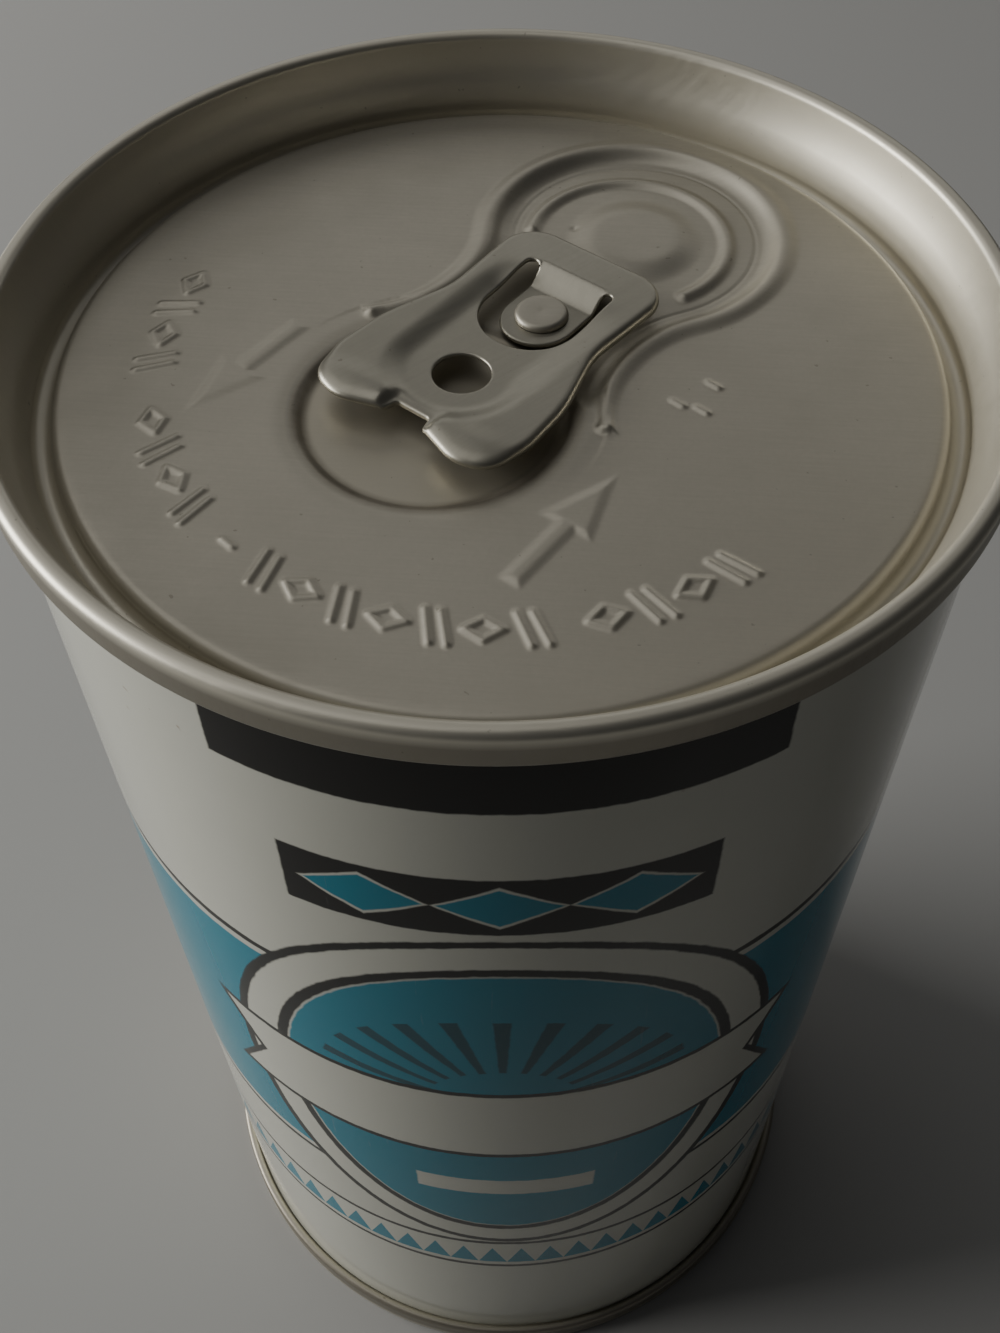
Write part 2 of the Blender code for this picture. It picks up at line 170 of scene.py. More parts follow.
def rim_profile():
    corner = (PANEL_FLAT, PANEL_DEPTH + PANEL_CORNER)
    groove = (GROOVE_CENTRE, GROOVE_DEPTH - GROOVE_RADIUS)
    inner_wall = SEAM_RADIUS - SEAM_WALL
    points = arc(corner, PANEL_CORNER, -90, 0, 6)
    points += arc(groove, GROOVE_RADIUS, 180, -20, 12)
    points += [(inner_wall - CHUCK_LEAN, SEAM_HEIGHT + 0.2 * MM),
               (inner_wall - 0.6 * CHUCK_LEAN, SEAM_HEIGHT - 0.4 * MM),
               (inner_wall - 0.15 * CHUCK_LEAN, 0.45 * SEAM_HEIGHT)]
    points += arc((inner_wall + CREST, CREST), CREST, 180, 270, 7)
    points += arc((SEAM_RADIUS - CREST, CREST), CREST, -90, 0, 7)
    points += [(SEAM_RADIUS - 0.04 * MM, 0.45 * SEAM_HEIGHT),
               (SEAM_RADIUS - 0.05 * MM, 0.6 * SEAM_HEIGHT)]
    roll = (SEAM_RADIUS - FOOT_ROLL - 0.03 * MM, SEAM_HEIGHT - FOOT_ROLL)
    points += arc(roll, FOOT_ROLL, 0, 130, 8)
    return points + [(BODY_RADIUS + 0.04 * MM, SEAM_HEIGHT - 0.5 * MM),
                     (BODY_RADIUS + 0.02 * MM, SEAM_HEIGHT - 0.9 * MM),
                     (BODY_RADIUS - 0.4 * MM, SEAM_HEIGHT - 0.9 * MM),
                     (BODY_RADIUS - 0.4 * MM, END_DEPTH)]


RIM = rim_profile()
print("rim profile", len(RIM), "rings")

# %% [markdown]
# ## The lid's pressed figures
# A press forms everything on the lid in one blow: the deep recess round the tear panel,
# the bead along its flanks, the ring bead and the dome inside it, the finger well, the
# arrows and the small marks. Cutting such soft shapes with Booleans would give hard
# edges, so the flat sheet is pressed instead: a fine grid, whose points are lowered or
# raised by how far they are from each figure's own line. The figures are laid out along
# the lid's axis, from the pouring side (u positive) to the finger well (u negative).

# %% Lengths of the lid's figures, in millimetres on the sheet
AXIS_ANGLE = math.radians(52.2)
AXIS_OFFSET = 0.5
POUR, POUR_RADIUS = 17.0, 9.75
NECK, NECK_HALF = 5.6, 6.35
RECESS_DEPTH, RECESS_SLOPE, RECESS_MIDDLE = 0.5, 1.5, 0.15
BEAD_OUTSET, BEAD_HALF, BEAD_HEIGHT, BEAD_END = 1.1, 1.2, 0.26, -1.1
BEAD_TIP_HALF = 0.75
SCORE_INSET, SCORE_HALF, SCORE_DEPTH = 0.95, 0.16, 0.07
RING, RING_RADIUS, RING_SWEEP = (16.45, 0.15), 7.2, math.radians(113.0)
RING_HALF, RING_HEIGHT = 0.85, 0.3
DOME, DOME_RADIUS, DOME_HEIGHT = (16.9, -0.1), 4.25, 0.42
PIT, PIT_RADIUS, PIT_DEPTH = (15.4, 4.2), 0.5, 0.12
WELL, WELL_RADIUS, WELL_DEPTH, WELL_WALL = (-6.2, 0.35), 8.75, 0.36, 0.95
SHOULDER_RADIUS, SHOULDER_WIDTH, SHOULDER_DEPTH = 9.55, 2.0, 0.17
ARROWS = (((0.5, -19.4), (6.6, -11.7)), ((-13.8, 4.1), (-20.0, -3.5)))
ARROW_HEAD, ARROW_HEAD_HALF, ARROW_SHAFT_HALF, ARROW_HEIGHT = 4.2, 1.5, 0.45, 0.125


# %% Soft steps and ridges
def smooth(t):
    """0 below 0, 1 above 1, and an easy S between."""
    t = np.clip(t, 0.0, 1.0)
    return t * t * (3.0 - 2.0 * t)


def ramp(distance, width):
    """Rises from 0 to 1 across a band of this width about distance 0."""
    return smooth(distance / width + 0.5)


def bump(distance, half):
    """Round ridge, 1 on its line and 0 at half its width."""
    return 0.5 + 0.5 * np.cos(np.pi * np.clip(np.abs(distance) / half, 0.0, 1.0))


# %% Distances on the lid
def on_axis(x, y):
    """Lid place (mm) as distance along its axis and across it."""
    c, s = math.cos(AXIS_ANGLE), math.sin(AXIS_ANGLE)
    return x * c + y * s, y * c - x * s - AXIS_OFFSET


def recess_distance(u, v):
    """How far outside the recess's edge a place is: a round end with a waisted neck."""
    reach = POUR - NECK
    waist = (reach ** 2 + NECK_HALF ** 2 - POUR_RADIUS ** 2) / (2 * (POUR_RADIUS - NECK_HALF))
    side = NECK_HALF + waist
    v = np.abs(v)
    beyond = (NECK - POUR) * v - side * (u - POUR)
    flank = waist - np.where(v < side, np.hypot(u - NECK, v - side), np.abs(u - NECK))
    return np.where(beyond < 0, np.hypot(u - POUR, v) - POUR_RADIUS, flank)


def segment_distance(x, y, start, end):
    dx, dy = end[0] - start[0], end[1] - start[1]
    along = np.clip(((x - start[0]) * dx + (y - start[1]) * dy) / (dx * dx + dy * dy), 0, 1)
    return np.hypot(x - start[0] - along * dx, y - start[1] - along * dy)


# %% [markdown]
# ## Marks round the lid
# A lid carries a line of small raised marks along its edge. Here they are plain
# ornament, the height and spacing of stamped marks: pairs of slanted strokes and flat
# diamonds by turns, in runs with gaps between them, and three short dashes beside the
# tear panel. Each is a few strokes, so one table of strokes is enough for all of them.

# %% Where the marks and dashes stand
MARK_RADIUS, MARK_HALF_HEIGHT, MARK_PITCH = 23.2, 1.25, 7.0
MARK_STROKE_HALF, MARK_HEIGHT, MARK_SLANT = 0.19, 0.16, 0.9
MARK_RUNS = ((-54.0, 4), (-86.0, 7), (-146.0, 4), (-181.5, 4))
DASH_ANGLE = -136.0
SMALL_DASHES = ((14.1, -2.7), (11.6, -4.4), (13.1, -5.1))
DIAMOND_RISE, DIAMOND_TURN, PAIR_TURN = 0.8, 2.9, 1.25


# %% Strokes of the marks
def around(radius, degrees):
    """Place on a circle about the can's axis."""
    return radius * math.cos(math.radians(degrees)), radius * math.sin(math.radians(degrees))


def mark_strokes():
    """Pairs of end points for every stroke, run by run."""
    strokes = []
    for first, count in MARK_RUNS:
        for index in range(count):
            angle = first - index * MARK_PITCH
            if index % 2 == 0:
                strokes += [(around(MARK_RADIUS - MARK_HALF_HEIGHT, angle + shift - MARK_SLANT),
                             around(MARK_RADIUS + MARK_HALF_HEIGHT, angle + shift + MARK_SLANT))
                            for shift in (-PAIR_TURN, PAIR_TURN)]
            else:
                low = around(MARK_RADIUS - DIAMOND_RISE, angle)
                high = around(MARK_RADIUS + DIAMOND_RISE, angle)
                left = around(MARK_RADIUS, angle - DIAMOND_TURN)
                right = around(MARK_RADIUS, angle + DIAMOND_TURN)
                strokes += [(low, left), (left, high), (high, right), (right, low)]
    strokes.append((around(MARK_RADIUS, DASH_ANGLE - 1.2), around(MARK_RADIUS, DASH_ANGLE + 1.2)))
    strokes += [((x - 0.32, y + 0.28), (x + 0.32, y - 0.28)) for x, y in SMALL_DASHES]
    return strokes


STROKES = mark_strokes()
print(len(STROKES), "strokes in the marks")


# %% Outline of an arrow
def arrow_distance(x, y, tail, tip):
    """How far outside a solid arrow a place is: a shaft and a three-cornered head."""
    length = math.dist(tail, tip)
    ax, ay = (tip[0] - tail[0]) / length, (tip[1] - tail[1]) / length
    along = (x - tail[0]) * ax + (y - tail[1]) * ay
    across = np.abs((y - tail[1]) * ax - (x - tail[0]) * ay)
    neck = length - ARROW_HEAD
    shaft = np.maximum(across - ARROW_SHAFT_HALF, np.maximum(-along, along - neck))
    slant = math.hypot(ARROW_HEAD, ARROW_HEAD_HALF)
    side = (across * ARROW_HEAD - (length - along) * ARROW_HEAD_HALF) / slant
    return np.minimum(shaft, np.maximum(side, neck - along))


# %% Noting where the sheet needs fine faces
RELIEF = {}


def press(name, distance, reach):
    """Note how close each place is to a figure's line, so that the sheet is finer there."""
    RELIEF[name] = np.abs(distance) / reach
    return distance


# %% Height of the pressed sheet
def pressed_height(x, y):
    """Height of the lid above its panel (mm) at places on it (mm)."""
    u, v = on_axis(x, y)
    edge = recess_distance(u, v)
    fade = smooth((u + 1.5) / 4.0)
    into = press("recess", edge, 1.1)
    depth = RECESS_DEPTH * ramp(RECESS_MIDDLE - into, RECESS_SLOPE) * fade
    score = press("score", edge + SCORE_INSET, 0.5)
    depth += SCORE_DEPTH * bump(score, SCORE_HALF) * smooth((u - 7.0) / 2.0)

    end_v = 9.8
    beyond = np.hypot(u - BEAD_END, np.abs(v) - end_v)
    bead = np.where(u < BEAD_END, beyond, edge - BEAD_OUTSET)
    half = BEAD_TIP_HALF + (BEAD_HALF - BEAD_TIP_HALF) * smooth((u - BEAD_END) / 8.0)
    height = BEAD_HEIGHT * bump(press("bead", bead, 1.4), half)
    height += 0.08 * bump(beyond, 1.1)

    ru, rv = u - RING[0], v - RING[1]
    turn = np.abs(np.arctan2(rv, ru))
    tip = (RING_RADIUS * math.cos(RING_SWEEP), RING_RADIUS * math.sin(RING_SWEEP))
    ring = np.where(turn < RING_SWEEP, np.hypot(ru, rv) - RING_RADIUS,
                    np.hypot(ru - tip[0], np.abs(rv) - tip[1]))
    height += RING_HEIGHT * bump(press("ring", ring, 1.2), RING_HALF)
    dome = np.hypot(u - DOME[0], v - DOME[1])
    height += DOME_HEIGHT * smooth((DOME_RADIUS + 0.9 - dome) / 2.4)
    press("dome", dome - DOME_RADIUS, 1.1)
    pit = np.hypot(u - PIT[0], v - PIT[1])
    height -= PIT_DEPTH * bump(press("pit", pit, 0.8), PIT_RADIUS)

    well = np.hypot(u - WELL[0], v - WELL[1])
    press("well", well - WELL_RADIUS, 1.3)
    sunk = SHOULDER_DEPTH * ramp(SHOULDER_RADIUS - well, SHOULDER_WIDTH)
    sunk += WELL_DEPTH * ramp(WELL_RADIUS - well, WELL_WALL)
    sunk += 0.08 * smooth((u - WELL[0]) / WELL_RADIUS)
    depth = np.maximum(depth, np.where(well < SHOULDER_RADIUS + SHOULDER_WIDTH, sunk, 0.0))

    for number, (tail, tip) in enumerate(ARROWS):
        arrow = press(f"arrow_{number}", arrow_distance(x, y, tail, tip), 0.9)
        height += ARROW_HEIGHT * ramp(0.1 - arrow, 0.8)
    stroke = np.min([segment_distance(x, y, *ends) for ends in STROKES], axis=0)
    height += MARK_HEIGHT * ramp(MARK_STROKE_HALF - press("marks", stroke, 0.9), 0.44)
    sway = np.sin(0.31 * x + 0.9) * np.sin(0.27 * y - 0.4) + 0.6 * np.sin(0.17 * (x - 2 * y))
    return height - depth + 0.012 * sway


# %% [markdown]
# ## Making the lid
# The lid starts as a grid, squeezed into a round blank, because a grid has no pole in
# its middle. While it is still coarse its edge is pulled round the rim profile. Then
# only the faces near a figure are subdivided, twice, and the sheet is pressed.

# %% The round blank and its rim
GRID = 96
FINE_ZONES = (1.9, 1.0)
panel_z = CAN_HEIGHT - PANEL_DEPTH

bpy.ops.mesh.primitive_grid_add(x_subdivisions=GRID, y_subdivisions=GRID, size=2.0)
lid = named("lid_sheet")
blank = points_of(lid)
gx, gy = blank[:, 0].copy(), blank[:, 1].copy()
edge_points = np.maximum(np.abs(gx), np.abs(gy)) > 1.0 - 1e-5
blank[:, 0] = PANEL_FLAT * gx * np.sqrt(1.0 - gy ** 2 / 2.0)
blank[:, 1] = PANEL_FLAT * gy * np.sqrt(1.0 - gx ** 2 / 2.0)
blank[:, 2] = panel_z
put_points(lid, blank)
select(lid, "VERT", edge_points)
bpy.ops.mesh.select_mode(type="EDGE")
pull_rings([(radius, CAN_HEIGHT - depth) for radius, depth in RIM])
bpy.ops.mesh.edge_face_add()
bpy.ops.object.mode_set(mode="OBJECT")

# %% Fine faces near the figures, then the press
for zone in FINE_ZONES:
    centres = face_centres(lid)
    x, y = centres[:, 0] / MM, centres[:, 1] / MM
    pressed_height(x, y)
    near = np.min(list(RELIEF.values()), axis=0) < zone
    on_panel = (np.hypot(x, y) < PANEL_FLAT / MM) & (centres[:, 2] > panel_z - 0.1 * MM)
    select(lid, "FACE", near & on_panel & (np.hypot(x, y) < 28.5))
    bpy.ops.mesh.subdivide(number_cuts=1)
    bpy.ops.object.mode_set(mode="OBJECT")
sheet = points_of(lid)
flat = np.hypot(sheet[:, 0], sheet[:, 1]) < PANEL_FLAT - 0.05 * MM
flat &= sheet[:, 2] > panel_z - 0.1 * MM
x, y = sheet[flat, 0] / MM, sheet[flat, 1] / MM
quiet_edge = smooth((PANEL_FLAT / MM - np.hypot(x, y)) / 2.0)
sheet[flat, 2] = panel_z + pressed_height(x, y) * quiet_edge * MM
put_points(lid, sheet)
bpy.ops.object.mode_set(mode="EDIT")
close_and_smooth(lid)

# %% [markdown]
# ## The rivet
# The tab is held by a button pressed up from the lid and squashed flat over it. It
# starts as a short cylinder; its top edge is bevelled into a soft shoulder, and the
# top is inset and pushed down a little, twice, for the punch's small dimple.

# %% Lengths of the rivet
SHEET = 0.35 * MM
RIVET_ALONG, RIVET_ACROSS = 5.3, -0.12
RIVET_RADIUS = 1.87 * MM
RIVET_STEM = 1.2 * MM
STEM_DEPTH = (RECESS_DEPTH + 0.1) * MM   # the stem ends a little inside the sheet
RIVET_THICKNESS = 0.42 * MM
TONGUE_LIFT = 0.35 * MM
tongue_z = panel_z - RECESS_DEPTH * MM + TONGUE_LIFT
rivet_low = tongue_z + SHEET + 0.05 * MM


def lid_point(along, across, height):
    """Place on the lid (along and across in mm, height in metres)."""
    c, s = math.cos(AXIS_ANGLE), math.sin(AXIS_ANGLE)
    across += AXIS_OFFSET
    return (along * c - across * s) * MM, (along * s + across * c) * MM, height


# %% A button, bevelled and dimpled
rivet_place = lid_point(RIVET_ALONG, RIVET_ACROSS, rivet_low + RIVET_THICKNESS / 2)
bpy.ops.mesh.primitive_cylinder_add(vertices=96, radius=RIVET_RADIUS, depth=RIVET_THICKNESS,
                                    location=rivet_place)
rivet = named("rivet_button")
bpy.ops.object.transform_apply(location=True, rotation=True, scale=True)
middle = face_centres(rivet)[:, 2]
select(rivet, "FACE", middle > rivet_place[2] + 0.3 * RIVET_THICKNESS)
bpy.ops.mesh.bevel(offset=0.36 * MM, segments=6, profile=0.5)
bpy.ops.object.mode_set(mode="OBJECT")
sizes = np.array([face.area for face in rivet.data.polygons])
middle = face_centres(rivet)[:, 2]
select(rivet, "FACE", (sizes > 2.0 * MM * MM) & (middle > rivet_place[2]))
for inward, down in ((0.55, 0.0), (0.4, 0.006), (0.3, 0.012), (0.12, 0.012)):
    bpy.ops.mesh.inset(thickness=inward * MM)
    bpy.ops.transform.translate(value=(0.0, 0.0, -down * MM))
bpy.ops.object.mode_set(mode="OBJECT")

# %% The stem, down into the lid
middle = face_centres(rivet)[:, 2]
select(rivet, "FACE", middle < rivet_low + 0.02 * MM)
bpy.ops.mesh.inset(thickness=RIVET_RADIUS - RIVET_STEM)
bpy.ops.mesh.extrude_region_move(
    TRANSFORM_OT_translate={"value": (0.0, 0.0, panel_z - STEM_DEPTH - rivet_low)})
close_and_smooth(rivet)
only(rivet)
bpy.ops.object.shade_smooth_by_angle(angle=math.radians(50.0))

# %% [markdown]
# ## The pull tab
# The tab is one strip of steel. Its border is curled under into a stiff round edge, its
# web is pressed down inside that border, a hole is pierced, and a slot on three sides
# frees the tongue that the rivet holds; the tongue hangs from the nose on a steep
# strip. All of these cross the sheet freely, so the blank is drawn first, as outlines
# with rounded corners, then filled with small triangles and pressed like the lid, and
# its underside follows it one sheet lower.

# %% Outlines of the tab, in millimetres on its axis
TAB_SIDE = ((12.2, 6.6, 2.8),        # nose: along, across, corner radius
            (3.2, 6.15, 7.0),        # waist
            (-2.2, 7.8, 12.0),       # shoulder
            (-6.2, 8.1, 5.0),        # widest, beside the finger hole
            (-9.55, 7.45, 2.2),      # tail corner
            (-10.35, 4.9, 3.2),      # end of the lobe
            (-9.2, 1.6, 0.4),        # mouth of the notch
            (-8.15, 1.35, 0.25))     # foot of the notch
TAB_TURN = math.radians(-1.2)        # it sits a touch askew on its rivet
TAB_TILT = math.radians(1.4)         # and its tail stands a little high
TAB_HINGE = 8.4
TAB_THICK, WEB_LEVEL = 1.0, 0.55
TAB_LIFT = 0.35                      # curled edge above the panel
SLOT, SLOT_RADIUS, SLOT_END = (4.2, -0.1), 3.65, 8.85
TONGUE, TONGUE_RADIUS, TONGUE_HOLE = (4.95, -0.15), 2.7, 1.3
STRIP_START, STRIP_END = 7.45, 9.0
HOLE, HOLE_RADIUS = (-3.45, -0.2), 1.95
WEB_TAIL, WEB_HALF = -3.5, 4.4


# %% Drawing outlines
def even_loop(points, step=0.16):
    """The same closed line with evenly spaced points."""
    loop = np.array(points + points[:1])
    length = np.r_[0.0, np.cumsum(np.hypot(*np.diff(loop, axis=0).T))]
    even = np.linspace(0.0, length[-1], int(length[-1] / step), endpoint=False)
    return np.c_[np.interp(even, length, loop[:, 0]), np.interp(even, length, loop[:, 1])]


def rounded(corners):
    """Closed outline through corners (x, y, radius), as evenly spaced points."""
    points = []
    for index, (x, y, radius) in enumerate(corners):
        corner = Vector((x, y))
        before = (Vector(corners[index - 1][:2]) - corner).normalized()
        after = (Vector(corners[(index + 1) % len(corners)][:2]) - corner).normalized()
        half = before.angle(after) / 2
        centre = corner + (before + after).normalized() * (radius / math.sin(half))
        first = corner + before * (radius / math.tan(half)) - centre
        last = corner + after * (radius / math.tan(half)) - centre
        sweep = math.atan2(first.cross(last), first.dot(last))
        start = math.atan2(first.y, first.x)
        count = max(2, math.ceil(abs(sweep) * radius / 0.05))
        for k in range(count + 1):
            angle = start + sweep * k / count
            points.append((centre.x + radius * math.cos(angle),
                           centre.y + radius * math.sin(angle)))
    return even_loop(points)


def circle(centre, radius, count):
    angles = np.linspace(0.0, 2 * math.pi, count, endpoint=False)
    return np.c_[centre[0] + radius * np.cos(angles), centre[1] + radius * np.sin(angles)]


# %% The tab's outline, slot and holes
def slot_outline():
    """Band on three sides of the tongue, from one leg's end to the other's."""
    outer = arc(SLOT, SLOT_RADIUS, 90, 270, 60)
    inner = arc(TONGUE, TONGUE_RADIUS, 270, 90, 46)
    caps = []
    for first, second in ((outer[-1], inner[0]), (inner[-1], outer[0])):
        cap = abs(first[1] - second[1]) / 2
        caps.append(arc((SLOT_END - cap, (first[1] + second[1]) / 2), cap, -90, 90, 10))
    return even_loop(outer + caps[0] + inner + caps[1])


outline = rounded(list(TAB_SIDE) + [(x, -y, r) for x, y, r in reversed(TAB_SIDE)])
slot = slot_outline()
openings = [slot, circle(HOLE, HOLE_RADIUS, 76),
            circle((RIVET_ALONG, RIVET_ACROSS), TONGUE_HOLE, 56)]
print("tab outline", len(outline), "points, slot", len(slot))


# %% Inside, outside and beside a loop
def inside(points, loop):
    """Which points lie inside a closed loop."""
    x, y = points[:, :1], points[:, 1:]
    ax, ay = loop.T
    bx, by = np.roll(loop, -1, axis=0).T
    crosses = (ay > y) != (by > y)
    at = ax + (y - ay) * (bx - ax) / np.where(by == ay, 1e-12, by - ay)
    return (crosses & (x < at)).sum(axis=1) % 2 == 1


def loop_distance(points, loop):
    """Distance from each point to a loop."""
    best = np.full(len(points), 1e9)
    for start, end in zip(loop, np.roll(loop, -1, axis=0)):
        best = np.minimum(best, segment_distance(points[:, 0], points[:, 1], start, end))
    return best


def offset_loop(loop, distance):
    """Points this far to the left of a loop that runs anticlockwise."""
    ahead = np.roll(loop, -1, axis=0) - np.roll(loop, 1, axis=0)
    normal = np.c_[-ahead[:, 1], ahead[:, 0]] / np.hypot(*ahead.T)[:, None]
    return loop + normal * distance


def anticlockwise(loop):
    following = np.roll(loop, -1, axis=0)
    area = np.sum(loop[:, 0] * following[:, 1] - following[:, 0] * loop[:, 1])
    return loop if area > 0 else loop[::-1]


# %% Rows of points along the edges, and a lattice between
EDGE_ROWS = (0.02, 0.06, 0.12, 0.2, 0.3, 0.42, 0.56, 0.72)
OPENING_ROWS = EDGE_ROWS[:4]
BLANK_STEP = 0.25
EDGE_CLEAR, OPENING_CLEAR = EDGE_ROWS[-1] + 0.12, 0.3


def clear_row(loop, distance):
    """The loop moved sideways, without the points that come too near it at corners."""
    row = offset_loop(loop, distance)
    return row[loop_distance(row, loop) > 0.97 * abs(distance)]


outline = anticlockwise(outline)
openings = [anticlockwise(loop) for loop in openings]
rows = [outline] + openings
rows += [clear_row(outline, distance) for distance in EDGE_ROWS]
rows += [clear_row(opening, -distance) for opening in openings for distance in OPENING_ROWS]
us = np.arange(-10.5, 12.6, BLANK_STEP)
vs = np.arange(-9.0, 9.1, BLANK_STEP)
lattice = np.array([(u + (k % 2) * BLANK_STEP / 2, v) for k, v in enumerate(vs) for u in us])
keep = inside(lattice, outline) & (loop_distance(lattice, outline) > EDGE_CLEAR)
for opening in openings:
    keep &= ~inside(lattice, opening) & (loop_distance(lattice, opening) > OPENING_CLEAR)
rows.append(lattice[keep])
places = np.vstack(rows)

# %% Triangles between the rows
edges, base = [], 0
for loop in rows[:1 + len(openings)]:
    edges += [(base + k, base + (k + 1) % len(loop)) for k in range(len(loop))]
    base += len(loop)
flat_points, _, triangles, *_ = delaunay_2d_cdt([Vector(p) for p in places], edges, [], 0, 1e-5)
flat_points = np.array([tuple(p) for p in flat_points])
triangles = np.array(triangles)
centre = flat_points[triangles].mean(axis=1)
solid = inside(centre, outline)
for opening in openings:
    solid &= ~inside(centre, opening)
triangles = triangles[solid]
print("tab blank", len(flat_points), "points,", len(triangles), "triangles")


# %% Heights of the tab's two faces
def soft_slope(t, round_off=0.12):
    """Straight climb from 0 to 1 with a small bend at each end."""
    return smooth(t) * round_off * 2 + np.clip(t, 0.0, 1.0) * (1 - round_off * 2)


WEB_SLOPE, WEB_SLOPE_EXTRA = 1.9, 0.8    # the web's wall is easier on one side
TAIL_CROWN = 0.15                        # the tail's lobes are a little domed
CURL, CURL_EXTRA = 0.5, 0.45             # width of the curled edge, and more at the tail
LIP, LIP_FALL = 0.14, 0.14               # rounded lip of the openings


def hangs(points):
    """Which places belong to the tongue and its strip, inside the slot."""
    u, v = points.T
    edge = TONGUE_RADIUS + 0.06
    strip = (np.abs(v - TONGUE[1]) < edge) & (u > TONGUE[0]) & (u < STRIP_END + 0.15)
    return (np.hypot(u - TONGUE[0], v - TONGUE[1]) < edge) | strip


def tab_faces(points):
    """Upper and lower height (mm above the curled edge) at places on the blank."""
    u, v = points.T
    rim = loop_distance(points, outline)
    notch = smooth((2.3 - np.abs(v)) / 0.7) * smooth((-7.0 - u) / 0.8)
    tail = smooth((-6.6 - u) / 2.4)

    web_edge = np.where(u < WEB_TAIL, np.hypot(u - WEB_TAIL, v), np.abs(v)) - WEB_HALF
    slope = WEB_SLOPE + WEB_SLOPE_EXTRA * smooth((1.5 - v) / 3.0) * smooth((u - WEB_TAIL) / 2.0)
    web = ramp(-web_edge, slope) * (1.0 - smooth((u - 4.6) / 3.6))
    sunk = 1.0 - (1.0 - web) * (1.0 - notch)
    level = TAB_THICK - (TAB_THICK - WEB_LEVEL) * sunk
    level += TAIL_CROWN * tail * smooth((rim - 0.3) / 2.0) * (1.0 - sunk)

    tongue_top = (tongue_z + SHEET - panel_z) / MM - TAB_LIFT
    climb = soft_slope((u - STRIP_START) / (STRIP_END - STRIP_START))
    hanging = hangs(points)
    level = np.where(hanging, tongue_top + (TAB_THICK - tongue_top) * climb, level)

    roll = CURL + CURL_EXTRA * tail
    curl = np.clip(1.0 - rim / roll, 0.0, 1.0)
    curled = TAB_THICK / 2 * (1.0 - np.sqrt(1.0 - curl ** 2))
    raw = 0.1 * np.clip(1.0 - rim / 0.12, 0.0, 1.0) ** 2
    sheet = SHEET / MM
    upper = level - (curled + (raw - curled) * notch)
    hollow = smooth((rim - 1.3) / 0.7)
    hollow = hollow + (1.0 - hollow) * notch
    lower = curled + (level - sheet - curled) * hollow
    lower = np.where(hanging, level - sheet, lower)
    for loop in openings:
        near = loop_distance(points, loop)
        lip = np.clip(1.0 - near / LIP, 0.0, 1.0)
        fall = LIP_FALL * (1.0 - np.sqrt(1.0 - lip ** 2))
        upper = upper - fall
        lower = np.minimum(lower + fall, upper - 0.02)
    return upper, np.minimum(lower, upper)


# %% Laying the tab on the lid
def place_tab_points(points, heights, lift):
    """Turn, tilt and lay the tab's places on the lid; lift is 0 on the tongue."""
    u, v = points.T
    z = heights + TAB_LIFT + lift * (TAB_HINGE - u) * math.sin(TAB_TILT)
    c, s = math.cos(TAB_TURN), math.sin(TAB_TURN)
    along = RIVET_ALONG + (u - RIVET_ALONG) * c - v * s
    across = (u - RIVET_ALONG) * s + v * c
    return np.column_stack(lid_point(along, across, panel_z + z * MM))


# %% The tab's skin
upper, lower = tab_faces(flat_points)
lift = np.where(hangs(flat_points), 0.0, 1.0)
count = len(flat_points)
skin = np.vstack([place_tab_points(flat_points, heights, lift) for heights in (upper, lower)])
top = triangles.tolist()
under = [(c + count, b + count, a + count) for a, b, c in top]
sides = dict.fromkeys(pair for a, b, c in top for pair in ((a, b), (b, c), (c, a)))
walls = [(b, a, a + count, b + count) for a, b in sides if (b, a) not in sides]
faces = top + under + walls
mesh = bpy.data.meshes.new("pull_tab_sheet")
mesh.from_pydata(skin.tolist(), [], faces)
tab = bpy.data.objects.new("pull_tab_sheet", mesh)
bpy.context.scene.collection.objects.link(tab)
only(tab)
bpy.ops.object.mode_set(mode="EDIT")
bpy.ops.mesh.select_all(action="SELECT")
bpy.ops.mesh.remove_doubles(threshold=0.002 * MM)
close_and_smooth(tab)
bpy.ops.object.shade_smooth_by_angle(angle=math.radians(48.0))

# %% [markdown]
# ## The painted tube
# The body is one sheet rolled into a tube and welded along a side seam. Its wall is a
# cylinder without caps; the column of faces at the weld is raised by the overlap, and
# the top edge is pulled in by the sheet's thickness and down to meet the lower edge, so
# that the wall has two faces; both ends are out of sight inside the double seams.

# %% The tube and its side seam
TUBE_SIDES, TUBE_BANDS = 288, 17
SIDE_SEAM_RAISE = 0.12 * MM
WELD_HALF_ANGLE = 1.3                # degrees to each side of the weld's middle
WALL = 0.3 * MM
tube_low = SEAM_HEIGHT - 0.6 * MM
tube_high = CAN_HEIGHT - SEAM_HEIGHT + 0.6 * MM
bpy.ops.mesh.primitive_cylinder_add(vertices=TUBE_SIDES, radius=BODY_RADIUS,
                                    depth=tube_high - tube_low, end_fill_type="NOTHING",
                                    location=(0.0, 0.0, (tube_high + tube_low) / 2))
tube = named("painted_tube")
bpy.ops.object.transform_apply(location=True, rotation=True, scale=True)
for cut in np.linspace(tube_low, tube_high, TUBE_BANDS + 1)[1:-1]:
    bpy.ops.object.mode_set(mode="EDIT")
    bpy.ops.mesh.select_all(action="SELECT")
    bpy.ops.mesh.bisect(plane_co=(0.0, 0.0, float(cut)), plane_no=(0.0, 0.0, 1.0))
    bpy.ops.object.mode_set(mode="OBJECT")
centres = face_centres(tube)
angle = np.degrees(np.arctan2(centres[:, 1], centres[:, 0]))
select(tube, "FACE", np.abs(angle) < WELD_HALF_ANGLE)
bpy.ops.mesh.inset(thickness=SIDE_SEAM_RAISE)
bpy.ops.transform.translate(value=(SIDE_SEAM_RAISE, 0.0, 0.0))
bpy.ops.object.mode_set(mode="OBJECT")
select_edges(tube, points_of(tube)[:, 2] > tube_high - 0.01 * MM)
